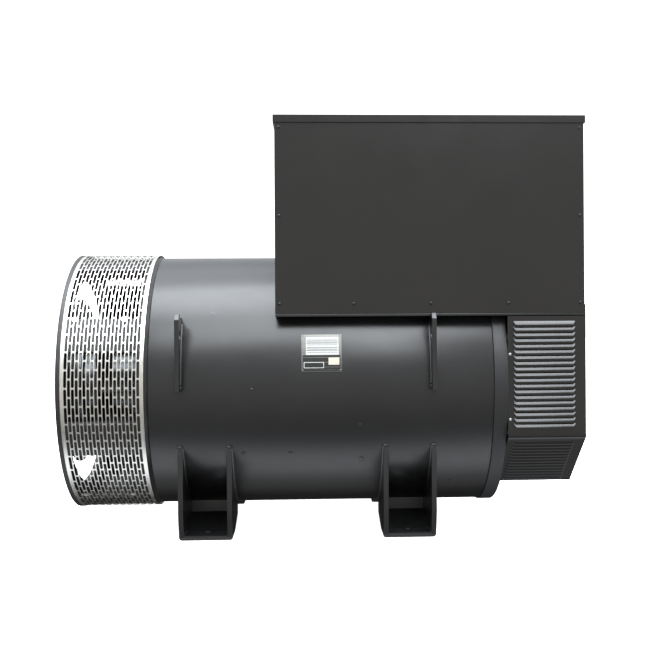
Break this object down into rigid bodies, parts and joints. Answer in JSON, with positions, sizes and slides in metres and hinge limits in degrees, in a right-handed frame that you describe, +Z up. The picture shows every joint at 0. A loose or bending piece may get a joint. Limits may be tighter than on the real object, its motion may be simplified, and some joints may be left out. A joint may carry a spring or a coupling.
{
  "type": "generator alternator head",
  "caption": "Close-coupled generator alternator: flanged adaptor with perforated screen, round barrel frame on feet, large terminal box, louvred air-inlet cover, turning rotor.",
  "frame": {"origin": "on the shaft axis, in the face of the engine flange", "axes": "+X along the shaft from the drive end to the non-drive end, +Z up, feet 0.5 m below the shaft"},
  "size_m": [1.71, 0.916, 1.362],
  "materials": {
    "frame_paint": "satin dark grey machinery enamel on welded steel",
    "sheet_paint": "satin dark grey enamel on folded sheet steel",
    "cast_paint": "dark grey paint on rough castings",
    "screen_steel": "bright rolled stainless sheet",
    "machined_steel": "turned steel, lightly oiled",
    "bolt_zinc": "zinc-plated steel",
    "bearing_steel": "ground bearing steel",
    "lamination": "varnished electrical steel sheets",
    "winding": "enamelled and varnished copper wire",
    "terminal_copper": "tinned bar",
    "board": "glass-fibre insulating board",
    "electronics": "potted electronic module",
    "fan_metal": "welded sheet steel",
    "plate_metal": "satin, bare"
  },
  "bodies": {
    "stator": {"adaptor_bolts": "bolt_zinc", "bearing": "bearing_steel", "board_rails": "sheet_paint", "box_base": "sheet_paint", "box_end_de": "sheet_paint", "box_end_nde": "sheet_paint", "box_lid": "sheet_paint", "box_panel_left": "sheet_paint", "box_panel_right": "sheet_paint", "bracket_bolts": "bolt_zinc", "de_adaptor": "cast_paint", "de_screen_left": "screen_steel", "de_screen_right": "screen_steel", "exciter_stator": "lamination", "foot_de_left": "frame_paint", "foot_de_right": "frame_paint", "foot_nde_left": "frame_paint", "foot_nde_right": "frame_paint", "frame_barrel": "frame_paint", "lug_de_left": "frame_paint", "lug_de_right": "frame_paint", "lug_nde_left": "frame_paint", "lug_nde_right": "frame_paint", "nde_bracket": "cast_paint", "nde_cover": "sheet_paint", "nde_end_panel": "sheet_paint", "rating_plate": "plate_metal", "stator_core": "lamination", "stator_winding": "winding", "terminal_bars": "terminal_copper", "terminal_board": "board", "voltage_regulator": "electronics"},
    "rotor": {"shaft": "machined_steel", "coupling_disc": "machined_steel", "disc_bolts": "bolt_zinc", "fan": "fan_metal", "rotor_core": "lamination", "field_coils": "winding", "exciter_rotor": "lamination", "rectifier": "electronics"}
  },
  "joints": [
    {"name": "rotor_spin", "type": "hinge", "parent": "stator", "child": "rotor", "pos_m": [0, 0, 0], "axis": [1, 0, 0], "continuous": true}
  ]
}
